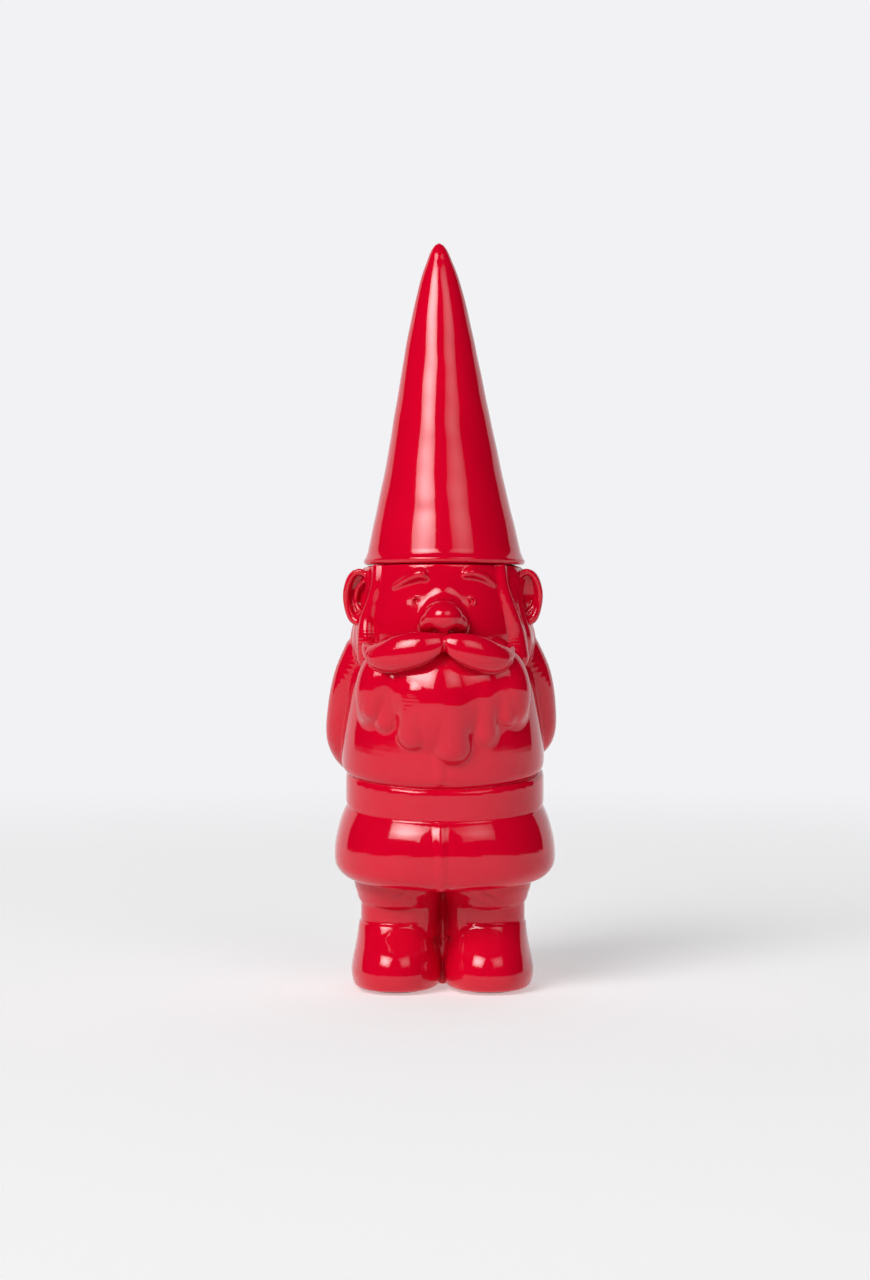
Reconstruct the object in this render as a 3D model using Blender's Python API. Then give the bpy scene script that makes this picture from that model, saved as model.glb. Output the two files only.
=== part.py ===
"""Garden gnome: a glazed earthenware figure, hollow like a jar, whose tall pointed hat is its lid.

Frame: +Z up, the figure faces -Y, and its own left side is +X. The floor is z = 0, and the origin is on the floor
below the axis of the hat. Lengths below are in millimetres; mesh_object() turns them into metres.
"""
import math
from collections import namedtuple

import bmesh
import bpy
from mathutils import Matrix, Vector

# ---- Driving dimensions, in mm ----
HEIGHT = 400.0            # floor to hat tip
BRIM_Z = 226.2            # underside of the hat's rim
BRIM_RADIUS = 43.4
HAT_WALL = 4.5
WALL = 5.0                # wall of the hollow castings
GAP = 0.4                 # left between luted castings
MOUTH_RADIUS = 33.0       # the figure's mouth, under the hat
COLLAR_RADIUS = 32.0      # the hat's collar that drops into the mouth
COLLAR_DEPTH = 12.0       # how far the collar reaches below the brim
COLLAR_WALL = 4.4
SEAL_GROOVE = 1.2         # depth of the collar's groove
SEAL_LOW = 3.6            # the groove runs from here below the brim ...
SEAL_HEIGHT = 4.0         # ... down by this much
SEAL_GAP = 0.3
SHELF_LOW = 1.4           # the collar's shelf, luted to the inside of the hat, above the brim ...
SHELF_HIGH = 5.2
SHELF_INSET = 2.0         # ... and clear of the hat's wall by this much at the brim
CHAMFER = 0.8             # on the collar's lower edge
NECK_Z = 176.0            # head casting meets bodice casting
WAIST_Z = 111.0           # bodice casting meets skirt casting, behind the belt
BELT_TOP = 120.0
BELT_FOOT = 101.8
WAIST_DIP = 11.0          # how much lower the belt runs in front
HEM_Z = 62.4              # lowest edge of the skirt behind; in front it dips by HEM_DIP
HEM_DIP = 7.0
SOLE_THICKNESS = 8.0
TROUSER_FOOT = 44.0       # trouser legs end on the boot shafts
PAD_THICKNESS = 1.0
LEG_X = 24.6              # each boot's axis
BODY_COUNT = 28           # points round each body casting
LEG_COUNT = 20            # points round each leg
METRE = 0.001

Section = namedtuple("Section", "z width front back dip")  # half-sizes about the axis


# ---- Mesh helpers ----
def material(name, colour, roughness):
    made = bpy.data.materials.new(name)
    made.use_nodes = True
    shader = made.node_tree.nodes["Principled BSDF"]
    shader.inputs["Base Color"].default_value = (*colour, 1.0)
    shader.inputs["Roughness"].default_value = roughness
    shader.inputs["Metallic"].default_value = 0.0
    return made


def mesh_object(name, bm, finish=None, smooth_angle=40.0):
    """A bmesh in mm as an object in metres; with no finish it is a hidden cutter."""
    bmesh.ops.recalc_face_normals(bm, faces=bm.faces)
    bm.transform(Matrix.Scale(METRE, 4))
    mesh = bpy.data.meshes.new(name)
    bm.to_mesh(mesh)
    bm.free()
    mesh.shade_smooth()
    mesh.set_sharp_from_angle(angle=math.radians(smooth_angle))
    made = bpy.data.objects.new(name, mesh)
    bpy.context.scene.collection.objects.link(made)
    if finish is None:
        made.hide_render = True
        made.display_type = "WIRE"
    else:
        mesh.materials.append(finish)
    return made


def trim(piece, *cutters):
    """Seats a piece on its neighbours: each cutter is a neighbour's outer form grown by GAP."""
    for cutter in cutters:
        cut = piece.modifiers.new("seat_on_" + cutter.name, "BOOLEAN")
        cut.operation = "DIFFERENCE"
        cut.solver = "EXACT"
        cut.object = cutter


def smooth_run(points, per_span):
    """Points of a Catmull-Rom curve through the given ones, per_span to each stretch."""
    run = []
    for i in range(len(points) - 1):
        before, here = points[max(i - 1, 0)], points[i]
        there, after = points[i + 1], points[min(i + 2, len(points) - 1)]
        for step in range(per_span):
            t = step / per_span
            run.append(tuple(
                0.5 * (2 * b + (c - a) * t + (2 * a - 5 * b + 4 * c - d) * t ** 2
                       + (3 * b - a - 3 * c + d) * t ** 3)
                for a, b, c, d in zip(before, here, there, after)))
    run.append(tuple(points[-1]))
    return run


def oval_ring(section, count, power=2.3, centre=(0.0, 0.0), grow=0.0):
    """A superellipse ring, deeper or shallower in front than behind, dipping towards the front."""
    ring = []
    for i in range(count):
        angle = 2 * math.pi * i / count
        across, along = math.cos(angle), math.sin(angle)
        depth = section.front if along < 0 else section.back
        x = math.copysign(abs(across) ** (2 / power), across) * (section.width + grow)
        y = math.copysign(abs(along) ** (2 / power), along) * (depth + grow)
        forward = (1 - along) / 2
        ring.append(Vector((centre[0] + x, centre[1] + y, section.z - section.dip * forward ** 2)))
    return ring


def loft(bm, rings, closed=False):
    """Bridges rings of equal count. Closed joins the last ring to the first, otherwise both ends get a cap."""
    loops = [[bm.verts.new(point) for point in ring] for ring in rings]
    pairs = list(zip(loops, loops[1:] + loops[:1])) if closed else list(zip(loops, loops[1:]))
    for low, high in pairs:
        for i in range(len(low)):
            j = (i + 1) % len(low)
            bm.faces.new((low[i], low[j], high[j], high[i]))
    if not closed:
        for loop in (loops[0], loops[-1]):
            middle = bm.verts.new(sum((v.co for v in loop), Vector()) / len(loop))
            for i in range(len(loop)):
                bm.faces.new((loop[i], loop[(i + 1) % len(loop)], middle))


def lofted(name, sections, finish=None, count=BODY_COUNT, centre=(0.0, 0.0), grow=0.0, power=2.3):
    """A solid through a stack of sections."""
    bm = bmesh.new()
    rings = [oval_ring(s, count, power, centre, grow) for s in sections]
    if grow:
        rings[0] = [p - Vector((0, 0, grow)) for p in rings[0]]
        rings[-1] = [p + Vector((0, 0, grow)) for p in rings[-1]]
    loft(bm, rings)
    return mesh_object(name, bm, finish)


def turned(name, profile, finish=None, count=32):
    """A solid of revolution about Z; profile runs (radius, z). A radius of zero closes on the axis."""
    bm = bmesh.new()
    verts = [bm.verts.new((radius, 0.0, z)) for radius, z in profile]
    edges = [bm.edges.new(pair) for pair in zip(verts, verts[1:])]
    if profile[0][0] > 0:
        edges.append(bm.edges.new((verts[-1], verts[0])))
    bmesh.ops.spin(bm, geom=verts + edges, cent=(0, 0, 0), axis=(0, 0, 1), angle=2 * math.pi, steps=count,
                   use_merge=True)
    bmesh.ops.remove_doubles(bm, verts=bm.verts, dist=0.01)
    return mesh_object(name, bm, finish)


def swept(name, route, finish=None, count=12, per_span=3, grow=0.0):
    """A tube through (x, y, z, radius) stations."""
    run = smooth_run(route, per_span)
    points = [Vector(station[:3]) for station in run]
    rings = []
    for i, (point, station) in enumerate(zip(points, run)):
        heading = (points[min(i + 1, len(points) - 1)] - points[max(i - 1, 0)]).normalized()
        side = heading.cross(Vector((0, 0, 1))).normalized()
        rise = side.cross(heading).normalized()
        radius = station[3] + grow
        rings.append([point + (side * math.cos(a) + rise * math.sin(a)) * radius
                      for a in (2 * math.pi * k / count for k in range(count))])
    bm = bmesh.new()
    loft(bm, rings)
    return mesh_object(name, bm, finish)


def sphere_object(name, centre, radii, finish=None, grow=0.0, around=16, up=10):
    """An ellipsoid of the given half-sizes."""
    bm = bmesh.new()
    place = Matrix.Translation(centre) @ Matrix.Diagonal([r + grow for r in radii] + [1.0])
    bmesh.ops.create_uvsphere(bm, u_segments=around, v_segments=up, radius=1.0, matrix=place)
    return mesh_object(name, bm, finish)


# ---- The hat, which lifts off ----
HAT_OUTLINE = [       # (drop below the tip, outside radius): a slender cone, a little flared at its foot
    (0.0, 0.0), (1.6, 2.75), (8.6, 6.35), (21.6, 10.9), (47.5, 17.0), (82.0, 23.6), (116.5, 30.3),
    (133.8, 34.0), (151.0, 38.0), (167.0, 41.5)]
HAT_HOLLOW_FROM = 3       # the point is solid down to this station of the outline


def make_hat(glaze):
    lip = 1.3             # round of the rim's outer edge
    outside = [(radius, HEIGHT - drop) for drop, radius in smooth_run(HAT_OUTLINE, 2)]
    rim = [(BRIM_RADIUS, BRIM_Z + lip), (BRIM_RADIUS - 0.4 * lip, BRIM_Z + 0.3 * lip),
           (BRIM_RADIUS - lip, BRIM_Z), (BRIM_RADIUS - HAT_WALL, BRIM_Z)]
    inside = [(radius - HAT_WALL, HEIGHT - drop) for drop, radius in reversed(HAT_OUTLINE[HAT_HOLLOW_FROM:])]
    inside.append((0.0, inside[-1][1] + HAT_WALL))
    return turned("hat", outside + rim + inside, glaze)


def make_collar(glaze):
    """The ring luted inside the hat; it drops into the figure's mouth and keeps the hat from sliding off."""
    inner = COLLAR_RADIUS - COLLAR_WALL
    foot = BRIM_Z - COLLAR_DEPTH
    shelf_low, shelf_high = BRIM_Z + SHELF_LOW, BRIM_Z + SHELF_HIGH
    shelf_radius = BRIM_RADIUS - HAT_WALL - SHELF_INSET
    groove_top, groove_foot = BRIM_Z - SEAL_LOW, BRIM_Z - SEAL_LOW - SEAL_HEIGHT
    groove_radius = COLLAR_RADIUS - SEAL_GROOVE
    profile = [(inner, foot), (COLLAR_RADIUS - CHAMFER, foot),
               (COLLAR_RADIUS, foot + CHAMFER), (COLLAR_RADIUS, groove_foot),
               (groove_radius, groove_foot), (groove_radius, groove_top), (COLLAR_RADIUS, groove_top),
               (COLLAR_RADIUS, shelf_low), (shelf_radius, shelf_low), (shelf_radius, shelf_high),
               (inner, shelf_high)]
    return turned("hat_collar", profile, glaze)


def make_seal(rubber):
    """The ring that stops the hat rattling; it sits in the collar's groove and nearly fills the mouth."""
    inner, outer = COLLAR_RADIUS - SEAL_GROOVE + SEAL_GAP, MOUTH_RADIUS - SEAL_GAP
    high, low = BRIM_Z - SEAL_LOW - SEAL_GAP, BRIM_Z - SEAL_LOW - SEAL_HEIGHT + SEAL_GAP
    return turned("hat_seal", [(inner, low), (outer, low), (outer, high), (inner, high)], rubber)


# ---- The hollow castings, one above the other ----
HEAD = [Section(z, w, f, b, 0.0) for z, w, f, b in (
    (NECK_Z + GAP, 41.6, 42.6, 39.8), (186.0, 44.8, 45.6, 42.0), (198.0, 45.2, 45.6, 43.0),
    (208.0, 44.4, 44.4, 43.0), (216.0, 43.0, 43.2, 42.4), (223.6, 41.8, 41.8, 41.6),
    (BRIM_Z - GAP, 40.0, 40.0, 40.0))]
BODICE_BULGE = [Section(z, w, f, b, d) for z, w, f, b, d in (
    (BELT_TOP + GAP, 52.6, 49.0, 44.6, WAIST_DIP), (125.0, 54.2, 51.2, 46.2, 10.2),
    (136.0, 53.4, 52.4, 46.0, 6.4), (150.0, 51.2, 52.0, 44.5, 2.5), (165.0, 47.5, 46.8, 42.0, 0.4),
    (NECK_Z, 40.0, 39.0, 38.5, 0.0))]
SKIRT_FLARE = [Section(z, w, f, b, d) for z, w, f, b, d in (
    (HEM_Z, 52.0, 49.0, 45.0, HEM_DIP), (64.4, 56.0, 53.6, 48.4, HEM_DIP), (68.0, 58.8, 56.2, 50.6, 6.6),
    (74.0, 59.6, 57.2, 51.4, 6.2), (84.0, 57.6, 55.4, 49.4, 7.0),
    (BELT_FOOT - GAP, 53.2, 50.6, 45.4, WAIST_DIP))]
WAIST = Section(WAIST_Z, 49.2, 47.0, 41.5, WAIST_DIP)   # the spigots under the belt
BELT = Section(WAIST_Z, 53.8, 51.4, 45.8, WAIST_DIP)


def shrunk(section, by, z=None):
    return Section(section.z if z is None else z, section.width - by, section.front - by, section.back - by,
                   section.dip)


def moved(section, z):
    return section._replace(z=z)


def sections_through(stations, per_span):
    return [Section(*values) for values in smooth_run(stations, per_span)]


def make_tube(name, outside, inside, finish, count=BODY_COUNT, power=2.3, centre=(0.0, 0.0)):
    """A casting open at both ends: up its outside and back down its inside."""
    bm = bmesh.new()
    loft(bm, [oval_ring(s, count, power, centre) for s in outside + inside], closed=True)
    return mesh_object(name, bm, finish)


def make_head(glaze):
    outside = sections_through(HEAD, 2)
    ledge = outside[-1]
    mouth = Section(ledge.z, MOUTH_RADIUS, MOUTH_RADIUS, MOUTH_RADIUS, 0.0)
    throat = moved(mouth, ledge.z - WALL - COLLAR_DEPTH)
    inside = [shrunk(s, WALL) for s in reversed(outside) if s.z < throat.z - WALL]
    return make_tube("head", outside, [mouth, throat] + inside, glaze, power=2.0)


def make_bodice(glaze):
    bulge = sections_through(BODICE_BULGE, 2)
    spigot = [moved(WAIST, WAIST_Z + GAP), moved(WAIST, BELT_TOP + GAP)._replace(dip=bulge[0].dip)]
    outside = spigot + bulge
    return make_tube("coat_bodice", outside, [shrunk(s, WALL) for s in reversed(outside)], glaze)


def make_belt(glaze):
    """A strip wrapped round the waist over the joint of bodice and skirt."""
    round_edge = 1.2
    low, high = BELT_FOOT, BELT_TOP
    outside = [moved(shrunk(BELT, round_edge), low), moved(BELT, low + round_edge),
               moved(BELT, high - round_edge), moved(shrunk(BELT, round_edge), high)]
    skin = BELT.width - WAIST.width - GAP
    inside = [moved(shrunk(BELT, skin), high), moved(shrunk(BELT, skin), low)]
    return make_tube("belt", outside, inside, glaze)


def make_skirt(glaze):
    """The coat's skirt, a cup: it is closed below, where the legs are luted on."""
    flare = sections_through(SKIRT_FLARE, 2)
    spigot = [moved(WAIST, BELT_FOOT - GAP)._replace(dip=flare[-1].dip), moved(WAIST, WAIST_Z)]
    outside = flare + spigot
    inside = [shrunk(s, WALL) for s in reversed(outside) if s.z > HEM_Z + 2 * WALL]
    thick_corner = 1.6    # the wall is this many times as thick round the edge of the cup's floor
    inside.append(shrunk(flare[2], thick_corner * WALL, HEM_Z + WALL))
    return lofted("coat_skirt", outside + inside, glaze)


# ---- Hair, beard and face ----
FACE_HALF_ANGLE = 51.0    # the face is open this far each side of straight ahead
HAIR = [Section(z, w, f, b, 0.0) for z, w, f, b in (
    (168.0, 45.0, 43.0, 43.0), (177.0, 49.4, 48.0, 46.5), (189.0, 50.2, 50.4, 48.5),
    (203.0, 48.4, 48.8, 48.0), (215.0, 45.8, 46.0, 46.4), (224.8, 43.2, 43.2, 43.4))]
BEARD = [Section(z, w, f, 0.0, 0.0) for z, w, f in (
    (121.2, 9.0, 53.0), (123.0, 16.5, 56.4), (128.0, 23.5, 59.4), (136.0, 29.5, 61.4),
    (146.0, 37.5, 62.6), (157.0, 42.0, 62.6), (168.0, 45.0, 60.2), (178.0, 45.4, 55.4), (187.0, 42.0, 48.0))]
BEARD_CURVE = 66.0        # half-width of the oval that the beard's face follows in plan
BEARD_BACK = -8.0         # the beard's rough solid ends here, inside the castings it is then seated on ...
BEARD_BACK_ROUND = 4.0    # ... bulging this much further back


def make_hair(glaze):
    """A wig-like casting round the back and sides of the head, open over the face."""
    steps = 22
    start, end = math.radians(FACE_HALF_ANGLE - 90), math.radians(270 - FACE_HALF_ANGLE)
    angles = [start + (end - start) * i / steps for i in range(steps + 1)]

    def arc(section):
        return [Vector((section.width * math.cos(a), (section.front if math.sin(a) < 0 else section.back)
                        * math.sin(a), section.z)) for a in angles]

    outside = [arc(s) for s in sections_through(HAIR, 2)]
    bm = bmesh.new()
    axis_side = 0.6       # the rough solid reaches in to this share of its radius, then the head is cut out
    strips = []
    for ring in outside:
        inner = [Vector((p.x * axis_side, p.y * axis_side, p.z)) for p in reversed(ring)]
        strips.append(ring + inner)
    loft(bm, strips)
    return mesh_object("hair", bm, glaze)


def beard_form(name, finish=None, grow=0.0):
    bm = bmesh.new()
    rings = []
    count = 24
    edge_roundness = 0.32     # small, so the front stays full and the sides turn in sharply
    for section in sections_through(BEARD, 2):
        ring = []
        for i in range(count + 1):
            turn = math.pi * (i / count - 0.5)
            x = math.sin(turn) * (section.width + grow)
            front = (section.front + grow) * math.sqrt(1 - (x / BEARD_CURVE) ** 2)
            ring.append(Vector((x, BEARD_BACK - (front + BEARD_BACK) * math.cos(turn) ** edge_roundness,
                                section.z)))
        half = 0.7 * ring[-1].x
        ring += [Vector((x, BEARD_BACK + BEARD_BACK_ROUND, section.z)) for x in (half, -half)]
        rings.append(ring)
    loft(bm, rings)
    return mesh_object(name, bm, finish)


MOUSTACHE_HALF = [(0.0, -57.0, 184.2, 4.8), (9.0, -57.4, 182.8, 7.0), (19.0, -54.0, 180.0, 8.8),
                  (28.0, -48.4, 177.8, 8.0), (35.0, -42.6, 178.8, 5.2), (39.0, -38.4, 181.6, 2.0)]


def moustache_form(name, finish=None, grow=0.0):
    other_half = [mirrored(station, -1) for station in reversed(MOUSTACHE_HALF[1:])]
    return swept(name, other_half + MOUSTACHE_HALF, finish, count=12, per_span=2, grow=grow)


NOSE_CENTRE = Vector((0.0, -51.0, 197.6))
NOSE_RADII = (10.2, 11.0, 9.4)
WING_OFFSET = (8.0, 2.2, -3.4)   # nostril wings, from the nose's centre
WING_RADII = (4.6, 6.4, 4.6)
EAR_CENTRE, EAR_RADII = (46.6, 0.0, 209.2), (8.6, 6.6, 15.6)       # the left ear; the right one mirrors it
EAR_BOWL_CENTRE, EAR_BOWL_RADII = (50.0, -5.4, 210.4), (3.4, 4.2, 10.6)
BROW_ROUTE = [(10.0, -42.2, 220.4, 2.5), (17.6, -40.0, 219.4, 2.4), (25.4, -36.2, 215.4, 1.3)]
EYE_CENTRE, EYE_RADII = (14.6, -42.6, 206.6), (4.4, 3.4, 3.6)


def mirrored(place, side):
    """A place given for the figure's left, on that side (1) or the other (-1)."""
    return (side * place[0], *place[1:])


def nose_form(name, finish=None, grow=0.0):
    bulb = sphere_object(name, NOSE_CENTRE, NOSE_RADII, finish, grow=grow, around=18, up=12)
    for side in (-1, 1):
        centre = NOSE_CENTRE + Vector(mirrored(WING_OFFSET, side))
        wing = sphere_object(f"{name}_wing_{side}", centre, WING_RADII, grow=grow, around=12, up=8)
        join = bulb.modifiers.new("nostril_wing", "BOOLEAN")
        join.operation = "UNION"
        join.object = wing
    return bulb


def make_ear(name, side, glaze, *seats):
    """A cupped ear; its bowl opens forwards."""
    ear = sphere_object(name, mirrored(EAR_CENTRE, side), EAR_RADII, glaze, around=16, up=12)
    bowl = sphere_object(name + "_bowl", mirrored(EAR_BOWL_CENTRE, side), EAR_BOWL_RADII, around=12, up=8)
    trim(ear, bowl, *seats)


def make_brow(name, side, glaze, *seats):
    brow = swept(name, [mirrored(station, side) for station in BROW_ROUTE], glaze, count=8, per_span=2)
    trim(brow, *seats)


def make_eye(name, side, glaze, *seats):
    eye = sphere_object(name, mirrored(EYE_CENTRE, side), EYE_RADII, glaze, around=14, up=8)
    trim(eye, *seats)


# ---- Arms and hands, clasped behind the back ----
ARM_ROUTES = {        # shoulder, elbow, wrist as (x, y, z, radius); the right elbow hangs lower
    "left": [(43.0, 2.0, 177.0, 11.4), (47.0, 5.0, 162.0, 12.8), (48.6, 10.0, 146.0, 12.8),
             (47.2, 19.0, 132.4, 12.4), (37.0, 34.5, 129.6, 11.4), (24.0, 45.0, 132.0, 9.8)],
    "right": [(-43.0, 2.0, 176.0, 11.4), (-47.4, 5.0, 159.0, 13.2), (-50.4, 10.0, 140.0, 14.0),
              (-49.6, 19.0, 125.4, 13.4), (-38.0, 34.5, 121.6, 11.8), (-24.0, 45.0, 123.4, 9.8)],
}
HANDS = {             # centre and half-sizes of each fist
    "left": ((11.6, 50.4, 132.8), (13.0, 9.8, 9.2)),
    "right": ((-10.6, 52.4, 123.4), (13.4, 9.8, 9.4)),
}


def arm_form(name, side, finish=None, grow=0.0):
    return swept(name, ARM_ROUTES[side], finish, count=12, per_span=2, grow=grow)


def hand_form(name, side, finish=None, grow=0.0):
    centre, radii = HANDS[side]
    return sphere_object(name, centre, radii, finish, grow=grow, around=16, up=10)


# ---- Legs ----
TROUSER = [Section(z, w, f, b, 0.0) for z, w, f, b in (
    (TROUSER_FOOT, 20.4, 29.0, 28.0), (46.4, 22.6, 32.0, 30.0), (50.0, 23.2, 33.0, 30.4),
    (66.0, 22.6, 33.0, 29.4))]       # rough above, where the skirt's underside is cut out of it
SOLE_Z = PAD_THICKNESS + GAP
BOOT = [Section(z, w, f, b, 0.0) for z, w, f, b in (
    (SOLE_Z, 19.8, 34.0, 23.0), (4.4, 23.4, 38.8, 26.4), (9.0, 24.3, 40.6, 27.6), (15.0, 24.2, 39.8, 28.0),
    (21.0, 23.6, 36.6, 28.0), (27.0, 22.4, 31.8, 27.6), (33.0, 21.6, 28.8, 27.2), (34.4, 20.4, 27.0, 26.4),
    (TROUSER_FOOT - GAP, 20.3, 26.8, 26.4))]
LEG_BORE = Section(0.0, 14.0, 19.5, 19.5, 0.0)    # the hollow up each leg
VENT_RADIUS = 4.0         # the hole in each sole that lets air and steam out in the kiln
PAD = Section(0.0, 16.0, 28.0, 18.0, 0.0)         # outline of the felt under each sole


def make_trouser(name, side, glaze):
    """A short tube: the puffed end of a trouser leg."""
    inside = [moved(LEG_BORE, TROUSER[-1].z), moved(LEG_BORE, TROUSER[0].z)]
    return make_tube(name, TROUSER, inside, glaze, count=LEG_COUNT, centre=(side * LEG_X, 0.0))


def make_boot(name, side, glaze):
    """A boot cast hollow: open at the top inside the trouser leg, with a vent through its sole."""
    sole_top = SOLE_Z + SOLE_THICKNESS
    vent = Section(sole_top, VENT_RADIUS, VENT_RADIUS, VENT_RADIUS, 0.0)
    inside = [moved(LEG_BORE, BOOT[-1].z), moved(LEG_BORE, sole_top), vent, moved(vent, SOLE_Z)]
    return make_tube(name, BOOT, inside, glaze, count=LEG_COUNT, centre=(side * LEG_X, 0.0))


def make_pad(name, side, felt):
    """A felt pad glued under the sole."""
    return lofted(name, [PAD, moved(PAD, PAD_THICKNESS)], felt, count=LEG_COUNT, centre=(side * LEG_X, 0.0))


# ---- Assembly ----
def main():
    for old in list(bpy.data.objects):
        bpy.data.objects.remove(old, do_unlink=True)
    glaze = material("red_glaze", (0.62, 0.004, 0.022), 0.08)
    felt = material("felt", (0.32, 0.3, 0.3), 0.95)
    rubber = material("silicone", (0.75, 0.75, 0.73), 0.45)

    make_hat(glaze)
    make_collar(glaze)
    make_seal(rubber)
    make_head(glaze)
    make_bodice(glaze)
    make_belt(glaze)
    make_skirt(glaze)

    head_seat = lofted("head_seat", sections_through(HEAD, 2), grow=GAP, power=2.0)
    bodice_seat = lofted("bodice_seat", sections_through(BODICE_BULGE, 2), grow=GAP)
    belt_seat = lofted("belt_seat", [moved(BELT, BELT_FOOT), moved(BELT, BELT_TOP)], grow=GAP)
    skirt_seat = lofted("skirt_seat", sections_through(SKIRT_FLARE, 2), grow=GAP)
    beard_seat = beard_form("beard_seat", grow=GAP)
    moustache_seat = moustache_form("moustache_seat", grow=GAP)

    hair = make_hair(glaze)
    trim(hair, head_seat, bodice_seat)
    hair_seat = lofted("hair_seat", sections_through(HAIR, 2), grow=GAP, power=2.0)
    beard = beard_form("beard", glaze)
    trim(beard, head_seat, bodice_seat, hair_seat)
    moustache = moustache_form("moustache", glaze)
    trim(moustache, head_seat, beard_seat)
    nose = nose_form("nose", glaze)
    trim(nose, head_seat, moustache_seat)

    for name, side in (("left", 1), ("right", -1)):
        make_ear("ear_" + name, side, glaze, head_seat, hair_seat)
        make_brow("brow_" + name, side, glaze, head_seat)
        make_eye("eye_" + name, side, glaze, head_seat)
        arm = arm_form("arm_" + name, name, glaze)
        trim(arm, bodice_seat, belt_seat, head_seat, hair_seat, beard_seat)
        trim(make_trouser("trouser_" + name, side, glaze), skirt_seat)
        make_boot("boot_" + name, side, glaze)
        make_pad("foot_pad_" + name, side, felt)

    arm_seats = {name: arm_form(f"arm_{name}_seat", name, grow=GAP) for name in ARM_ROUTES}
    left_hand_seat = hand_form("hand_left_seat", "left", grow=GAP)
    trim(hand_form("hand_left", "left", glaze), bodice_seat, belt_seat, *arm_seats.values())
    trim(hand_form("hand_right", "right", glaze), bodice_seat, belt_seat, left_hand_seat, *arm_seats.values())


main()
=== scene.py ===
import math

import bpy
import numpy as np
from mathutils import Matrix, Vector


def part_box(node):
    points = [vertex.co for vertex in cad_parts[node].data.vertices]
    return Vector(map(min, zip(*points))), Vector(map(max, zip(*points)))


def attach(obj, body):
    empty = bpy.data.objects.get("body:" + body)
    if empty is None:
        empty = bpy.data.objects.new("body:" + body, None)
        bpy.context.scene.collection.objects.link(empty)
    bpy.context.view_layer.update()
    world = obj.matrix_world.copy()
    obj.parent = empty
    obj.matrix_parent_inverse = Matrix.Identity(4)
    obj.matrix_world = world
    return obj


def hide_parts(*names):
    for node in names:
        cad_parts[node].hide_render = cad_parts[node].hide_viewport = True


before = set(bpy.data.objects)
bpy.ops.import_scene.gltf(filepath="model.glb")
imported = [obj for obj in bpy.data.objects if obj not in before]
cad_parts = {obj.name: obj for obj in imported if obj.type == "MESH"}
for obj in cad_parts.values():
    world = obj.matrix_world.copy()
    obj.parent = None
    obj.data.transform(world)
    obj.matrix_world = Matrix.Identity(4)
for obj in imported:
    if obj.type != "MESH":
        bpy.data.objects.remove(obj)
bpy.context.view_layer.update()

# The glazed skin of the gnome is sculpted as one smooth field of distances, so that the glaze runs over
# the joints of the castings in soft fillets. It is then meshed and parted into a closed piece for each casting.
# Lengths are in millimetres: +X is the figure's own left, -Y the way it faces, and z = 0 the floor.

MM = 0.001
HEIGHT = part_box("hat")[1][2] / MM
BRIM_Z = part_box("hat")[0][2] / MM
LEDGE_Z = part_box("head")[1][2] / MM       # top of the figure's mouth
SOLE_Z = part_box("boot_left")[0][2] / MM
SKIN = 0.8                                # thickness of the closed skin pieces
MOUTH_RADIUS = 33.0
FAR = 30.0                                # distance given to points that no form is near
FINE = 0.62                               # grid step over the face and beard
COARSE = 0.95                             # and elsewhere
FINE_WIDTH = 36.0                         # half-width of the finely meshed face and beard
FINE_BACK = -32.0                         # how far back they reach ...
FINE_FOOT = 118.0                         # ... and how far down
AROUND = 2.5                              # kept clear round the figure's flat ends by the grid
BOOT_TOP = 35.2                           # the edge where a boot's shoe meets its shaft
HAT_WALL = 4.5


# ---- Curves and blends ----
def smooth_run(points, per_span):
    """Points of a Catmull-Rom curve through the given ones."""
    points = np.array(points, float)
    padded = np.vstack([points[:1], points, points[-1:]])
    run = []
    for i in range(len(points) - 1):
        a, b, c, d = padded[i:i + 4]
        for t in np.arange(per_span) / per_span:
            run.append(0.5 * (2 * b + (c - a) * t + (2 * a - 5 * b + 4 * c - d) * t ** 2
                              + (3 * b - a - 3 * c + d) * t ** 3))
    run.append(points[-1])
    return np.array(run)


def smooth_min(a, b, k):
    mix = np.clip(0.5 + 0.5 * (b - a) / k, 0, 1)
    return b + (a - b) * mix - k * mix * (1 - mix)


def smooth_max(a, b, k):
    return -smooth_min(-a, -b, k)


# ---- Forms: each adds to a casting or cuts into the figure ----
class Form:
    """A solid form: the casting it belongs to, its distance field, its box, and how softly it blends in."""

    def __init__(self, node, field, low, high, blend, cuts):
        self.node, self.field, self.blend, self.cuts = node, field, blend, cuts
        margin = blend + 2.5
        self.low, self.high = np.array(low, float) - margin, np.array(high, float) + margin


FORMS = []


def add(node, shape, blend=1.2, cuts=False):
    field, low, high = shape
    FORMS.append(Form(node, field, low, high, blend, cuts))


def ellipsoid(centre, radii, turn=0.0, lean=0.0):
    """Half-sizes radii; turn is about Z and then lean about Y, in degrees."""
    turn_c, turn_s = math.cos(math.radians(turn)), math.sin(math.radians(turn))
    lean_c, lean_s = math.cos(math.radians(lean)), math.sin(math.radians(lean))

    def field(x, y, z):
        dx, dy, dz = x - centre[0], y - centre[1], z - centre[2]
        dx, dz = dx * lean_c + dz * lean_s, dz * lean_c - dx * lean_s
        dx, dy = dx * turn_c + dy * turn_s, dy * turn_c - dx * turn_s
        near = np.sqrt((dx / radii[0]) ** 2 + (dy / radii[1]) ** 2 + (dz / radii[2]) ** 2) + 1e-9
        steep = np.sqrt((dx / radii[0] ** 2) ** 2 + (dy / radii[1] ** 2) ** 2
                        + (dz / radii[2] ** 2) ** 2) + 1e-9
        return near * (near - 1) / steep

    reach = max(radii) if turn or lean else np.array(radii)
    return field, np.array(centre) - reach, np.array(centre) + reach


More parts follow.
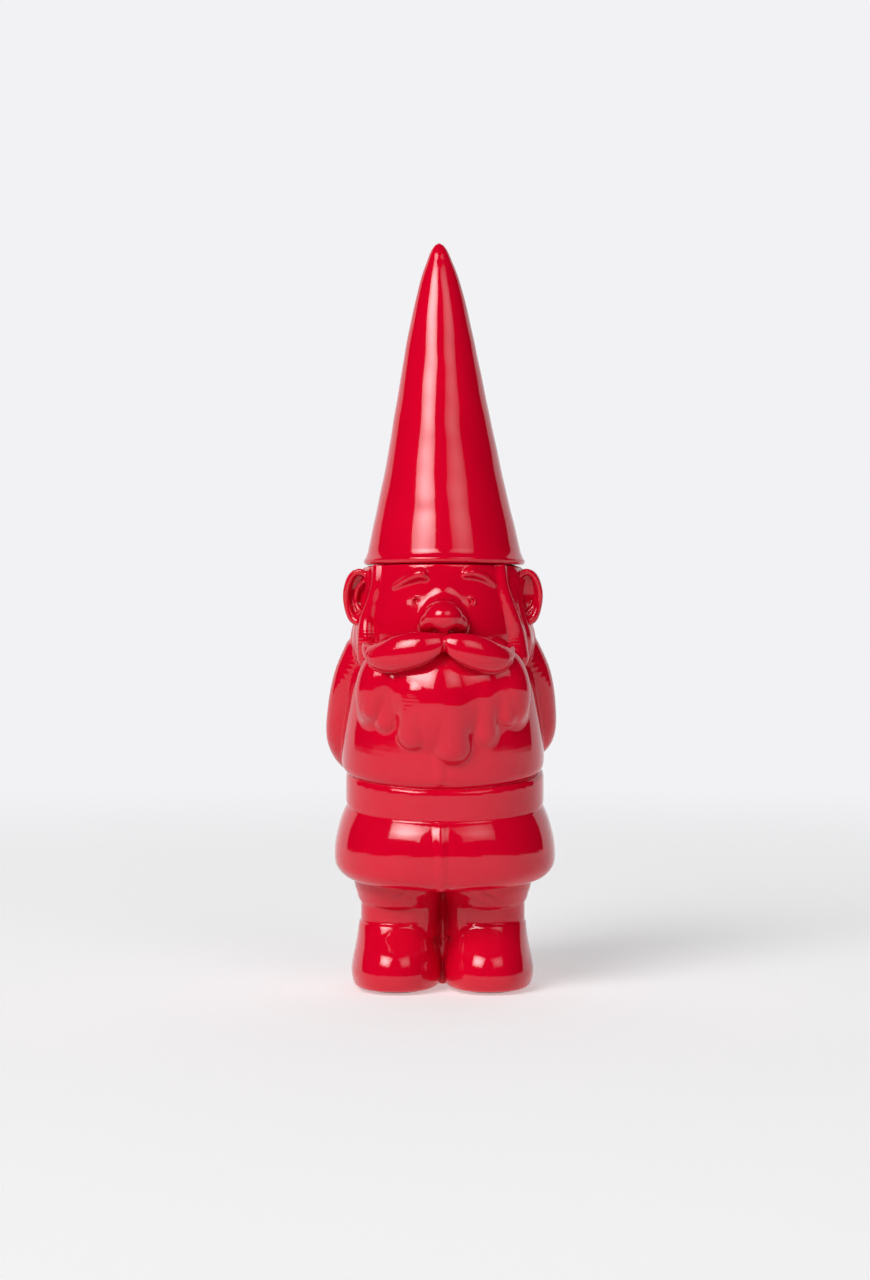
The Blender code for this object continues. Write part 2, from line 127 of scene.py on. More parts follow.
def chain(route, per_span=6):
    """A tube through (x, y, z, radius) stations."""
    run = smooth_run(route, per_span)

    def field(x, y, z):
        best = None
        for a, b in zip(run[:-1], run[1:]):
            ax, ay, az, ra = a
            along = b[:3] - a[:3]
            length2 = float(along @ along)
            t = ((x - ax) * along[0] + (y - ay) * along[1] + (z - az) * along[2]) / length2
            t = np.clip(t, 0, 1)
            away = np.sqrt((x - ax - t * along[0]) ** 2 + (y - ay - t * along[1]) ** 2
                           + (z - az - t * along[2]) ** 2)
            here = away - ra - t * (b[3] - ra)
            best = here if best is None else np.minimum(best, here)
        return best

    radius = run[:, 3:4]
    return field, (run[:, :3] - radius).min(0), (run[:, :3] + radius).max(0)


def leaf(route, flat, tilt):
    """A tube pressed flat times thinner from the front, its front then tipped back by tilt degrees."""
    tilt_c, tilt_s = math.cos(math.radians(tilt)), math.sin(math.radians(tilt))

    def pressed(y, z):
        return (y * tilt_c - z * tilt_s) * flat, z * tilt_c + y * tilt_s

    tube = chain([(x, *pressed(y, z), radius) for x, y, z, radius in route], per_span=8)[0]
    low, high = chain(route)[1:]
    return (lambda x, y, z: tube(x, *pressed(y, z))), low, high


def ring(centre, radius, tube):
    """A ring that faces forwards."""
    def field(x, y, z):
        across = np.sqrt((x - centre[0]) ** 2 + (z - centre[2]) ** 2) - radius
        return np.sqrt(across ** 2 + (y - centre[1]) ** 2) - tube

    reach = np.array([radius + tube, tube, radius + tube])
    return field, np.array(centre) - reach, np.array(centre) + reach


def loft(levels, power=2.0, centre=(0.0, 0.0), corner=1.5, relief=None):
    """An upright form through (z, half-width, front, back, dip) levels, which dip towards the front."""
    run = smooth_run(levels, 6)
    slope = np.gradient(run[:, 1], run[:, 0])
    foot, top = run[0, 0], run[-1, 0]

    def field(x, y, z):
        dx, dy = x - centre[0], y - centre[1]
        rho = np.sqrt(dx ** 2 + dy ** 2) + 1e-6
        forward = (0.5 - 0.5 * dy / rho) ** 2
        level = z + forward * np.interp(z, run[:, 0], run[:, 4])
        level = level + 0 * rho
        width = np.interp(level, run[:, 0], run[:, 1])
        depth = np.where(dy < 0, np.interp(level, run[:, 0], run[:, 2]),
                         np.interp(level, run[:, 0], run[:, 3]))
        u = ((np.abs(dx) / width) ** power + (np.abs(dy) / depth) ** power) ** (1 / power) + 1e-6
        side = rho * (1 - 1 / u) / np.sqrt(1 + np.interp(level, run[:, 0], slope) ** 2)
        if relief is not None:
            side = side - relief(dx, dy, level)
        caps = np.maximum(foot - level, level - top)
        return smooth_max(side, caps, corner)

    wide, deep, back, dip = (run[:, i].max() for i in range(1, 5))
    return (field, (centre[0] - wide - 1, centre[1] - deep - 1, foot - dip),
            (centre[0] + wide + 1, centre[1] + back + 1, top))


def mirrored(route, side):
    """A route given for the figure's left, on that side (+1) or the other (-1)."""
    return [(side * station[0], *station[1:]) for station in route]


def front_of(x, z):
    """How far forward the forms added so far reach at (x, z)."""
    ys = np.arange(-75.0, 0.0, 0.1)
    points = np.stack([np.full_like(ys, x), ys, np.full_like(ys, z)], 1)
    return ys[np.argmax(field_at(points) < 0)]


def laid_on(route, sink):
    """A route of (x, z, radius) stations laid on the front, its middle line sink radii deep."""
    return [(x, front_of(x, z) + sink * radius, z, radius) for x, z, radius in route]


# ---- The figure ----
SIDES = (("left", 1), ("right", -1))


def strands(count, depth, sway):
    """Combed locks: ridges that run down, swaying a little."""
    def relief(x, y, z):
        angle = np.arctan2(x, y)
        broad = np.cos(count * angle + sway * np.sin(z / 9.0 + 3 * angle))
        narrow = 0.5 * np.cos(2.3 * count * angle - z / 7.0)
        return depth * (broad + narrow)
    return relief


def sculpt_body():
    waist_x = 1.1         # the belt and skirt stand a little to the figure's left
    add("coat_skirt", loft([(61.0, 50.8, 47.2, 43.4, 6.0), (63.0, 54.6, 51.6, 47.0, 6.2),
                            (66.0, 57.4, 54.8, 49.4, 6.6), (70.0, 59.1, 56.4, 51.0, 6.8),
                            (77.0, 59.2, 57.2, 51.4, 7.0), (84.0, 58.2, 57.0, 50.0, 7.4),
                            (92.0, 56.2, 55.4, 48.0, 8.8), (97.0, 54.4, 53.6, 46.4, 10.0),
                            (101.0, 52.6, 51.6, 45.0, 11.0), (105.0, 50.6, 48.6, 43.4, 11.0)],
                           power=2.3, centre=(waist_x, 0.0), corner=2.0))
    add("coat_bodice", loft([(118.6, 50.4, 48.2, 42.4, 11.0), (120.4, 52.9, 51.2, 44.8, 11.0),
                             (125.0, 54.4, 53.6, 46.4, 10.2), (136.0, 53.8, 54.4, 46.2, 6.4),
                             (150.0, 51.6, 53.0, 44.7, 2.5), (165.0, 48.6, 47.4, 42.5, 0.4),
                             (178.0, 42.0, 39.0, 38.5, 0.0), (186.0, 34.0, 33.0, 33.0, 0.0)],
                            power=2.3, corner=2.4), blend=0.8)
    add("belt", loft([(101.2, 51.6, 50.4, 43.6, 11.0), (102.8, 53.0, 51.8, 45.0, 11.0),
                      (110.0, 53.2, 52.2, 45.3, 11.0), (117.4, 53.0, 52.4, 45.2, 11.0),
                      (119.6, 51.6, 50.8, 43.8, 11.0)],
                     power=2.3, centre=(waist_x, 0.0), corner=0.8), blend=0.7)
    seam = 2.0            # half-width of the low ridge where the coat closes in front
    closures = {"coat_bodice": [(-1.6, 132.0, seam), (-1.6, 120.0, seam), (-1.5, 114.5, seam)],
                "coat_skirt": [(-1.4, 88.0, seam), (-1.2, 79.0, seam), (-1.0, 67.0, seam), (-1.0, 58.4, seam)]}
    for name, route in closures.items():
        add(name, chain(laid_on(route, 0.85)), blend=3.0)


def sculpt_legs():
    for name, side in SIDES:
        toe_x = 24.2 if side > 0 else -24.7
        add("boot_" + name, loft([(SOLE_Z, 21.4, 36.0, 24.6, 0), (3.4, 23.5, 39.0, 26.6, 0),
                                  (9.4, 24.5, 40.8, 27.4, 0), (15.6, 23.7, 39.8, 27.4, 0),
                                  (20.6, 22.7, 37.5, 27.2, 0), (25.0, 21.8, 33.9, 26.8, 0),
                                  (30.0, 21.0, 29.7, 26.6, 0), (33.6, 20.6, 27.3, 26.4, 0),
                                  (BOOT_TOP, 20.5, 26.6, 26.4, 0)], centre=(toe_x, 0), power=2.3, corner=0.8),
            blend=2.0)
        add("boot_" + name, loft([(28.0, 21.8, 25.8, 26.2, 0), (40.0, 21.7, 25.4, 26.0, 0),
                                  (56.0, 21.8, 26.4, 26.0, 0)], centre=(side * 22.4, 0), power=2.5, corner=1.0),
            blend=1.4)
        add("trouser_" + name, loft([(47.4, 20.4, 27.4, 26.4, 3.4), (48.8, 22.2, 29.6, 27.8, 3.4),
                                     (52.0, 23.2, 31.0, 28.8, 3.4), (57.0, 24.6, 32.8, 30.0, 3.4),
                                     (68.0, 25.4, 34.0, 31.0, 3.4)], centre=(side * 23.2, 0), corner=1.6),
            blend=1.6)
        for start, end in (((9.0, 56.0), (20.0, 48.6)), ((20.0, 55.0), (31.0, 49.4))):
            fold = [(side * start[0], -33.6, start[1], 0.6), (side * end[0], -32.0, end[1], 0.9)]
            add("trouser_" + name, chain(fold), blend=2.6, cuts=True)
    add("boot_right", ellipsoid((0.0, 2.0, 27.0), (4.2, 11.0, 36.0)), blend=3.0)     # web between the legs


def sculpt_arms():
    arms = {
        "right": [(-42.0, 1.0, 178.6, 11.6), (-46.4, 4.0, 165.0, 12.8), (-49.6, 8.0, 148.0, 13.0),
                  (-50.2, 13.0, 133.0, 12.9), (-45.0, 25.0, 123.4, 11.8), (-34.0, 36.5, 121.6, 10.8),
                  (-23.0, 45.0, 123.4, 10.0)],
        "left": [(41.6, 1.0, 179.4, 11.4), (46.2, 4.0, 166.0, 12.6), (48.6, 8.0, 150.0, 12.8),
                 (48.2, 13.0, 136.4, 12.8), (43.0, 26.0, 130.6, 11.2), (33.0, 37.0, 129.6, 10.4),
                 (23.0, 45.0, 132.0, 9.8)]}
    hands = {"left": (11.6, 50.4, 132.8), "right": (-10.6, 52.4, 123.6)}
    for name, side in SIDES:
        add("arm_" + name, chain(arms[name]), blend=1.6)
        wrist = arms[name][-1]
        add("arm_" + name, ellipsoid(wrist[:3], (4.6, 11.0, 10.6), turn=side * 35), blend=1.0)
        elbow = arms[name][3]
        for lift in (-5.0, 2.0, 9.0):
            fold = [(elbow[0] + side * 11.0, elbow[1] + 6.0, elbow[2] + lift + 5.0, 0.4),
                    (elbow[0] + side * 8.6, elbow[1] + 11.0, elbow[2] + lift, 0.9),
                    (elbow[0] + side * 2.0, elbow[1] + 16.0, elbow[2] + lift - 1.5, 0.5)]
            add("arm_" + name, chain(fold), blend=2.2, cuts=True)
        x, y, z = hands[name]
        add("hand_" + name, ellipsoid((x, y, z), (12.6, 8.6, 8.8)), blend=1.2)
        for finger in range(4):
            drop = z + 6.0 - 4.1 * finger
            add("hand_" + name, chain([(x + side * 6.0, y + 6.2, drop, 2.3), (x, y + 8.0, drop - 0.4, 2.4),
                                       (x - side * 8.6, y + 6.4, drop - 0.8, 2.2)]), blend=0.7)


def sculpt_head():
    add("head", loft([(160.0, 36.0, 36.0, 34.0, 0), (176.0, 42.5, 45.8, 40.0, 0), (186.0, 44.6, 47.4, 42.0, 0),
                      (195.0, 45.0, 46.5, 43.0, 0), (203.0, 44.8, 45.2, 43.0, 0), (207.0, 44.4, 44.3, 43.0, 0),
                      (211.0, 44.0, 43.6, 42.8, 0), (216.0, 43.0, 43.2, 42.6, 0), (223.0, 41.9, 42.8, 41.8, 0),
                      (226.4, 41.0, 42.2, 41.0, 0)], corner=2.0), blend=1.0)


def sculpt_hair():
    """A wig of combed locks, open over the face, and a sideburn down each side of the face."""
    face = 54.0           # degrees each side of straight ahead that the hair leaves open
    wig_field, low, high = loft([(166.0, 43.0, 41.0, 42.5, 0), (176.0, 48.4, 46.0, 46.5, 0),
                                 (188.0, 49.6, 48.0, 48.5, 0), (200.0, 47.0, 46.6, 48.5, 0),
                                 (212.0, 45.6, 45.0, 47.0, 0), (219.0, 44.4, 44.0, 45.6, 0),
                                 (225.4, 43.0, 43.0, 43.6, 0)], corner=3.0, relief=strands(16, 0.34, 1.3))

    def wig(x, y, z):
        opening = np.abs(x) * math.cos(math.radians(face)) + y * math.sin(math.radians(face)) + 0 * z
        return smooth_max(wig_field(x, y, z), -opening, 3.0)

    add("hair", (wig, low, high), blend=1.0)
    sideburns = [[(-33.6, 225.0, 3.8), (-34.0, 215.0, 4.0), (-36.6, 206.0, 4.0), (-39.6, 196.0, 4.6),
                  (-39.8, 187.0, 5.4), (-38.6, 177.0, 7.0)],
                 [(29.2, 225.0, 4.0), (30.4, 215.0, 4.2), (32.6, 206.0, 4.8), (35.0, 197.0, 5.8),
                  (36.8, 188.0, 6.8), (37.6, 177.0, 8.0)]]
    for route in sideburns:
        add("hair", chain(laid_on(route, 0.5)), blend=1.6)


def sculpt_ears():
    for name, side in SIDES:
        add("ear_" + name, ellipsoid((side * 46.2, -9.4, 209.4), (7.4, 5.6, 14.4), turn=side * 12), blend=1.6)
        add("ear_" + name, ellipsoid((side * 46.6, -15.4, 210.2), (6.2, 5.8, 11.8)), blend=1.2, cuts=True)
        helix = [(41.0, -15.4, 220.6, 1.5), (44.4, -14.6, 222.4, 1.7), (48.6, -13.4, 219.8, 1.8),
                 (51.5, -12.2, 212.0, 1.8), (51.0, -11.8, 204.4, 1.9), (48.6, -12.2, 198.2, 2.3),
                 (45.8, -13.4, 195.8, 2.3)]
        add("ear_" + name, chain(mirrored(helix, side)), blend=0.9)
    antihelix = [(-42.6, -14.6, 217.0, 0.9), (-45.6, -12.4, 212.8, 1.2), (-46.6, -11.8, 206.4, 1.3),
                 (-44.4, -13.2, 201.6, 1.5)]
    add("ear_right", chain(antihelix), blend=1.4)
    bowl_fold = [(45.4, -12.0, 200.6, 1.1), (48.2, -11.4, 204.0, 1.0), (49.2, -11.4, 208.0, 0.7)]
    add("ear_left", chain(bowl_fold), blend=1.4)


def sculpt_face():
    nose_x = 0.2
    add("nose", ellipsoid((nose_x, -38.4, 204.4), (8.0, 7.6, 8.4)), blend=3.4)
    add("nose", ellipsoid((nose_x, -50.2, 197.4), (11.0, 12.4, 9.4)), blend=5.0)
    for name, side in SIDES:
        add("nose", ellipsoid((nose_x + side * 8.6, -48.6, 194.8), (4.4, 6.4, 4.8)), blend=2.6)
        add("nose", ellipsoid((nose_x + side * 5.2, -56.6, 190.4), (2.7, 3.4, 2.2)), blend=1.0, cuts=True)
    brows = {"right": [(-9.8, 218.8, 2.0), (-11.6, 220.2, 3.0), (-17.2, 218.3, 2.5), (-25.2, 214.0, 1.2)],
             "left": [(12.0, 220.4, 1.8), (14.8, 221.0, 2.5), (20.0, 219.6, 2.3), (26.4, 215.4, 1.2)]}
    for name, route in brows.items():
        add("brow_" + name, chain(laid_on(route, 0.0)), blend=1.6)
    for name, x in (("right", -14.0), ("left", 15.0)):
        eye_z = 206.4
        y = front_of(x, eye_z)
        add("eye_" + name, ring((x, y, eye_z), 1.7, 0.6), blend=0.5)
        add("eye_" + name, ellipsoid((x, y - 0.4, eye_z), (1.1, 1.2, 1.1)), blend=0.3, cuts=True)


def sculpt_beard():
    add("beard", ellipsoid((-1.0, -41.0, 152.5), (26.0, 22.0, 32.0)), blend=1.6)
    add("beard", ellipsoid((16.0, -38.0, 158.0), (21.5, 18.8, 26.0)), blend=4.0)
    add("beard", ellipsoid((-14.0, -38.0, 159.0), (18.0, 19.4, 24.0)), blend=4.0)
    for side in (1, -1):
        add("beard", ellipsoid((side * 31.0, -36.0, 162.0), (14.6, 15.8, 23.0), lean=side * 12), blend=3.0)
    locks = [[(-13.4, -51.4, 158.0, 8.8), (-14.0, -50.6, 148.0, 9.4), (-14.6, -48.8, 137.2, 9.6)],
             [(3.6, -52.6, 152.0, 10.0), (4.2, -52.0, 142.0, 10.4), (4.8, -50.6, 131.0, 10.4)],
             [(19.6, -48.6, 156.0, 8.0), (20.2, -48.2, 148.0, 8.2), (20.6, -46.8, 137.6, 8.2)],
             [(-26.8, -44.8, 158.0, 6.6), (-27.6, -44.2, 151.0, 7.0), (-28.2, -43.8, 143.8, 7.0)],
             [(-34.4, -44.4, 159.0, 6.0), (-35.0, -44.0, 154.0, 6.2), (-35.4, -43.2, 150.0, 6.2)],
             [(30.4, -44.6, 158.0, 7.0), (31.0, -44.2, 152.0, 7.2), (31.4, -43.4, 147.4, 7.2)]]
    for lock in locks:
        add("beard", chain(lock), blend=1.2)


def sculpt_moustache():
    """Two halves, each a round tube with a flatter leaf in front; a small cut parts them below."""
    halves = [[(0.6, -55.4, 184.6, 4.0), (5.6, -57.0, 183.6, 5.8), (11.0, -56.0, 181.8, 7.6),
               (18.5, -52.6, 179.4, 8.7), (26.0, -47.8, 177.2, 7.9), (31.2, -44.0, 177.8, 5.4),
               (34.4, -41.0, 180.2, 3.0), (35.8, -39.2, 182.0, 1.4)],
              [(0.6, -55.4, 184.6, 4.0), (-5.0, -57.0, 183.8, 5.8), (-12.0, -55.8, 182.0, 8.1),
               (-20.0, -52.2, 180.2, 9.2), (-28.0, -47.0, 178.0, 8.5), (-34.0, -42.6, 178.0, 6.4),
               (-38.4, -38.8, 180.6, 3.9), (-40.8, -36.2, 183.4, 1.5)]]
    for half in halves:
        add("moustache", chain(half, per_span=8), blend=1.0)
        front = [(x, y - 0.62 * radius, z - 0.02 * radius, radius) for x, y, z, radius in half[1:6]]
        add("moustache", leaf(front, flat=2.2, tilt=12.0), blend=1.6)
    add("moustache", ellipsoid((0.7, -63.0, 179.6), (1.3, 3.0, 4.0)), blend=1.6, cuts=True)


def sculpt():
    sculpt_body()
    sculpt_legs()
    sculpt_arms()
    sculpt_head()
    sculpt_hair()
    sculpt_ears()
    sculpt_beard()
    sculpt_face()
    sculpt_moustache()


# ---- The whole field ----
def trimmed(distance, z):
    """The figure's flat ends: the ledge under the hat and the soles."""
    above_sole = smooth_max(distance, SOLE_Z - z + 0 * distance, 0.8)
    return smooth_max(above_sole, z - LEDGE_Z + 0 * distance, 0.9)


def joined(form, whole, part):
    """The field so far with one more form in it."""
    if form.cuts:
        return smooth_max(whole, -part, form.blend)
    return smooth_min(whole, part, form.blend)


def field_on_grid(xs, ys, zs):
    whole = np.full((len(xs), len(ys), len(zs)), FAR, np.float32)
    for form in FORMS:
        spans = [slice(*np.searchsorted(axis, (form.low[i], form.high[i])))
                 for i, axis in enumerate((xs, ys, zs))]
        if any(s.stop <= s.start for s in spans):
            continue
        x, y, z = xs[spans[0], None, None], ys[None, spans[1], None], zs[None, None, spans[2]]
        part = form.field(x, y, z).astype(np.float32)
        whole[tuple(spans)] = joined(form, whole[tuple(spans)], part)
    return trimmed(whole, zs[None, None, :].astype(np.float32))


def field_at(points):
    """The same field at loose points."""
    x, y, z = points.T
    whole = np.full(len(points), FAR)
    for form in FORMS:
        near = np.nonzero(((points > form.low) & (points < form.high)).all(1))[0]
        if len(near) == 0:
            continue
        part = form.field(x[near], y[near], z[near])
        whole[near] = joined(form, whole[near], part)
    return trimmed(whole, z)


def gradient_at(points, step=0.06):
    """(value, gradient) from four samples at the corners of a tetrahedron."""
    corners = np.array([(1, 1, 1), (1, -1, -1), (-1, 1, -1), (-1, -1, 1)], float)
    values = [field_at(points + corner * step) for corner in corners]
    slope = sum(value[:, None] * corner for value, corner in zip(values, corners)) / (4 * step)
    return sum(values) / 4, slope


def casting_at(points):
    """Which casting's form is nearest to each point."""
    nodes = sorted({form.node for form in FORMS})
    best = np.full(len(points), np.inf)
    owner = np.zeros(len(points), int)
    x, y, z = points.T
    for form in FORMS:
        if form.cuts:
            continue
        near = np.nonzero(((points > form.low) & (points < form.high)).all(1))[0]
        if len(near) == 0:
            continue
        part = form.field(x[near], y[near], z[near])
        closer = part < best[near]
        best[near[closer]] = part[closer]
        owner[near[closer]] = nodes.index(form.node)
    return nodes, owner


# ---- Meshing the field ----
def graded(low, high, fine_low, fine_high):
    """Grid positions from low to high, finer between fine_low and fine_high."""
    def stretch(a, b, step):
        return np.linspace(a, b, max(2, math.ceil((b - a) / step) + 1))[:-1] if b > a else np.array([])
    return np.concatenate([stretch(low, fine_low, COARSE), stretch(fine_low, fine_high, FINE),
                           stretch(fine_high, high, COARSE), [high]])


def surface_nets(values, axes):
    """Vertices inside the grid cells that the surface crosses, and quads facing out of the solid."""
    inside = values < 0
    corners = [(i, j, k) for i in (0, 1) for j in (0, 1) for k in (0, 1)]
    size = np.array(values.shape) - 1

    def corner_of(array, corner):
        return array[tuple(slice(c, c + n) for c, n in zip(corner, size))]

    count = sum(corner_of(inside, corner).astype(np.int8) for corner in corners)
    cells = np.argwhere((count > 0) & (count < 8))
    index = np.full(size, -1, np.int64)
    index[tuple(cells.T)] = np.arange(len(cells))
    total, hits = np.zeros((len(cells), 3)), np.zeros(len(cells))
    for corner in corners:
        for axis in range(3):
            if corner[axis]:
                continue
            a = cells + corner
            b = a.copy()
            b[:, axis] += 1
            va, vb = values[tuple(a.T)], values[tuple(b.T)]
            crossed = (va < 0) != (vb < 0)
            share = va[crossed] / (va[crossed] - vb[crossed])
            pa = np.stack([axes[i][a[crossed, i]] for i in range(3)], 1)
            pb = np.stack([axes[i][b[crossed, i]] for i in range(3)], 1)
            total[crossed] += pa + (pb - pa) * share[:, None]
            hits[crossed] += 1
    quads = []
    for axis in range(3):
        u, v = (axis + 1) % 3, (axis + 2) % 3
        low = [slice(1, n) for n in size]
        low[axis] = slice(0, size[axis])
        high = list(low)
        high[axis] = slice(1, size[axis] + 1)
        a, b = inside[tuple(low)], inside[tuple(high)]
        crossed = np.argwhere(a != b)
        leaving = a[tuple(crossed.T)]
        base = crossed + 1
        base[:, axis] -= 1
        around = []
        for du, dv in ((-1, -1), (0, -1), (0, 0), (-1, 0)):
            cell = base.copy()
            cell[:, u] += du
            cell[:, v] += dv
            around.append(index[tuple(cell.T)])
        quad = np.stack(around, 1)
        quad[~leaving] = quad[~leaving][:, ::-1]
        quads.append(quad)
    return total / hits[:, None], np.concatenate(quads)


def settle(points):
    """Moves points onto the surface and returns them with its outward normals."""
    for _ in range(2):
        value, slope = gradient_at(points)
        steep = (slope ** 2).sum(1) + 1e-9
        move = slope * (value / steep)[:, None]
        length = np.linalg.norm(move, axis=1)[:, None]
        points = points - move * np.minimum(1, 0.4 / np.maximum(length, 1e-9))
    slope = gradient_at(points)[1]
    return points, slope / np.maximum(np.linalg.norm(slope, axis=1), 1e-9)[:, None]


def link_mesh(name, points, faces, material, corner_normals=None):
    """A mesh object from millimetre points; faces is an array of quads or a list of index tuples."""
    mesh = bpy.data.meshes.new(name)
    faces = np.asarray(faces, dtype=np.int32)
    mesh.vertices.add(len(points))
    mesh.vertices.foreach_set("co", (np.asarray(points) * MM).astype(np.float32).ravel())
    mesh.loops.add(faces.size)
    mesh.loops.foreach_set("vertex_index", faces.ravel())
    mesh.polygons.add(len(faces))
    mesh.polygons.foreach_set("loop_start", np.arange(len(faces), dtype=np.int32) * faces.shape[1])
    mesh.update(calc_edges=True)
    mesh.validate()
    mesh.shade_smooth()
    if corner_normals is not None:
        mesh.normals_split_custom_set(corner_normals)
    mesh.materials.append(material)
    made = bpy.data.objects.new(name, mesh)
    bpy.context.scene.collection.objects.link(made)
    return made


def skin_piece(name, quads, points, normals, material):
    """A closed skin over one casting: its outer faces, the same faces SKIN further in, and a rim."""
    used, local = np.unique(quads, return_inverse=True)
    outer = local.reshape(quads.shape)
    out_points, out_normals = points[used], normals[used]
    inner = outer[:, ::-1] + len(used)
    edges = np.concatenate([outer[:, [i, (i + 1) % 4]] for i in range(4)])
    key = edges[:, 0] * len(used) + edges[:, 1]
    back = edges[:, 1] * len(used) + edges[:, 0]
    rim = edges[~np.isin(key, back)]
    rims = np.stack([rim[:, 1], rim[:, 0], rim[:, 0] + len(used), rim[:, 1] + len(used)], 1)
    faces = np.concatenate([outer, inner, rims])
    corner_normals = np.concatenate([out_normals[outer.ravel()], -out_normals[(inner - len(used)).ravel()],
                                     np.zeros((rims.size, 3))])
    all_points = np.concatenate([out_points, out_points - out_normals * SKIN])
    return link_mesh(name, all_points, faces, material, corner_normals)


def make_skin(glaze):
    """The glazed skin of the standing figure, a piece for each casting."""
    sculpt()
    xs = graded(-66.0, 66.0, -FINE_WIDTH, FINE_WIDTH)
    ys = graded(-70.0, 68.0, -69.0, FINE_BACK)
    zs = graded(SOLE_Z - AROUND, LEDGE_Z + AROUND, FINE_FOOT, LEDGE_Z + AROUND - 0.1)
    points, quads = surface_nets(field_on_grid(xs, ys, zs), (xs, ys, zs))
    points, normals = settle(points)
    middles = points[quads].mean(1)
    nodes, owner = casting_at(middles)
    on_mouth = ((middles[:, 2] > LEDGE_Z - 0.6)
                & (np.hypot(middles[:, 0], middles[:, 1]) < MOUTH_RADIUS + 1.0))
    for i, node in enumerate(nodes):
        chosen = quads[(owner == i) & ~on_mouth]
        if len(chosen) == 0:
            continue
        piece = skin_piece("glazed_" + node, chosen, points, normals, glaze)
        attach(piece, "figure")
        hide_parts(node)


# ---- Turned pieces ----
def turned_mesh(name, profile, material, count=160, waviness=None):
    """A closed ring of revolution from an (r, z) outline that is itself closed, top outside first."""
    profile = np.array(profile, float)
    angles = np.arange(count) * 2 * math.pi / count
    rings = []
    for angle in angles:
        radius = profile[:, 0] + (0 if waviness is None else waviness(angle, profile[:, 1], profile[:, 0]))
        rings.append(np.stack([radius * math.sin(angle), -radius * math.cos(angle), profile[:, 1]], 1))
    points = np.concatenate(rings)
    n = len(profile)
    row = np.arange(n)
    quads = []
    for i in range(count):
        a, b = i * n, ((i + 1) % count) * n
        quads.append(np.stack([a + row, a + (row + 1) % n, b + (row + 1) % n, b + row], 1))
    made = link_mesh(name, points, np.concatenate(quads), material)
    made.data.set_sharp_from_angle(angle=math.radians(50))
    return made


def arc(centre, radius, start, end, steps):
    """Points (r, z) along an arc; angles in degrees, from straight out."""
    angles = np.radians(np.linspace(start, end, steps))
    return [(centre[0] + radius * math.cos(a), centre[1] + radius * math.sin(a)) for a in angles]


HAT_OUTLINE = [(0.0, 0.35), (0.5, 1.3), (1.6, 2.75), (4.4, 4.6), (8.6, 6.35), (21.6, 10.9), (47.5, 17.0),
               (82.0, 23.6), (116.5, 30.3), (133.8, 34.0), (151.0, 38.0), (167.0, 41.5)]
HAT_HOLLOW_FROM = 5       # the point is solid down to this station of the outline
HAT_LEAN = -3.0           # how far the tip stands to the figure's right of the brim's middle
HAT_SHIFT = 1.0           # how far the hat sits to the figure's left


def hat_waviness(angle, z, radius):
    """The hand-finished wall: slow swells round and up the cone, and two shallow dents where it was held."""
    swell = 0.16 * np.sin(2 * angle + z / 31.0) + 0.11 * np.sin(3 * angle - z / 17.0 + 1.0)
    ripple = 0.05 * np.sin(5 * angle + z / 6.5) + 0.035 * np.sin(z / 3.1 + 2 * angle)
    dents = -0.20 * np.exp(-((z - 254.0) / 5.0) ** 2) - 0.12 * np.exp(-((z - 339.0) / 5.0) ** 2)
    toward = 0.5 + 0.5 * math.cos(angle)
    fade = np.clip(radius / 12.0, 0, 1)
    return (swell + ripple + dents * toward) * fade


def make_hat(glaze):
    """The hollow cone with its rolled lip, leaning a little."""
    outside = [(r, HEIGHT - drop) for drop, r in smooth_run(HAT_OUTLINE, 14)]
    lip, brim = 1.9, 43.6         # round of the rolled lip, and its outside radius
    rolled = arc((brim - lip, BRIM_Z + lip), lip, 50, -90, 12)
    lowered = [(brim - HAT_WALL - 0.5, BRIM_Z), (brim - HAT_WALL - 0.8, BRIM_Z + 0.8)]
    inside = [(r - HAT_WALL, HEIGHT - drop) for drop, r in smooth_run(HAT_OUTLINE[HAT_HOLLOW_FROM:], 3)[::-1]]
    hollow_top = [(0.3, inside[-1][1] + 8.0)]
    outline = outside + rolled + lowered + inside + hollow_top
    hat = turned_mesh("glazed_hat", outline, glaze, count=192, waviness=hat_waviness)
    lean = HAT_LEAN / (HEIGHT - BRIM_Z)
    for vertex in hat.data.vertices:
        vertex.co.x += (vertex.co.z - BRIM_Z * MM) * lean + HAT_SHIFT * MM
    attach(hat, "hat")
    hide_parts("hat")


# ---- The inside of the jar ----
FLOOR_Z = 70.0            # floor of the cavity


def make_inside(glaze):
    """The wall of the cavity, seen when the hat is off: mouth, throat and rounded hollow."""
    outline = [(36.0, LEDGE_Z + 0.12), (MOUTH_RADIUS + 0.7, LEDGE_Z + 0.12)]
    outline += arc((MOUTH_RADIUS + 0.7, LEDGE_Z - 0.58), 0.7, 90, 180, 5)
    outline += [(MOUTH_RADIUS, LEDGE_Z - 12.0), (MOUTH_RADIUS + 0.6, LEDGE_Z - 16.4)]
    outline += smooth_run([(36.0, 203.0), (38.5, 194.0), (36.6, 184.0), (33.6, 176.0), (37.0, 165.0),
                           (40.0, 145.0), (41.0, 124.0), (38.0, 108.0), (40.0, 90.0), (38.0, 78.0),
                           (28.0, FLOOR_Z + 1.0), (14.0, FLOOR_Z), (0.3, FLOOR_Z)], 4).tolist()
    skin = 0.7            # thickness of the liner
    shell = [(r + skin, z - 0.4 * skin) for r, z in outline[::-1][1:-1]]
    outline += [(0.3, FLOOR_Z - skin)] + shell
    inside = turned_mesh("glazed_inside", outline[::-1], glaze, count=96)
    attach(inside, "figure")
    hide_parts("head", "coat_bodice", "coat_skirt")


# ---- Materials ----
def node_of(tree, kind, **values):
    made = tree.nodes.new(kind)
    for key, value in values.items():
        setattr(made, key, value)
    return made


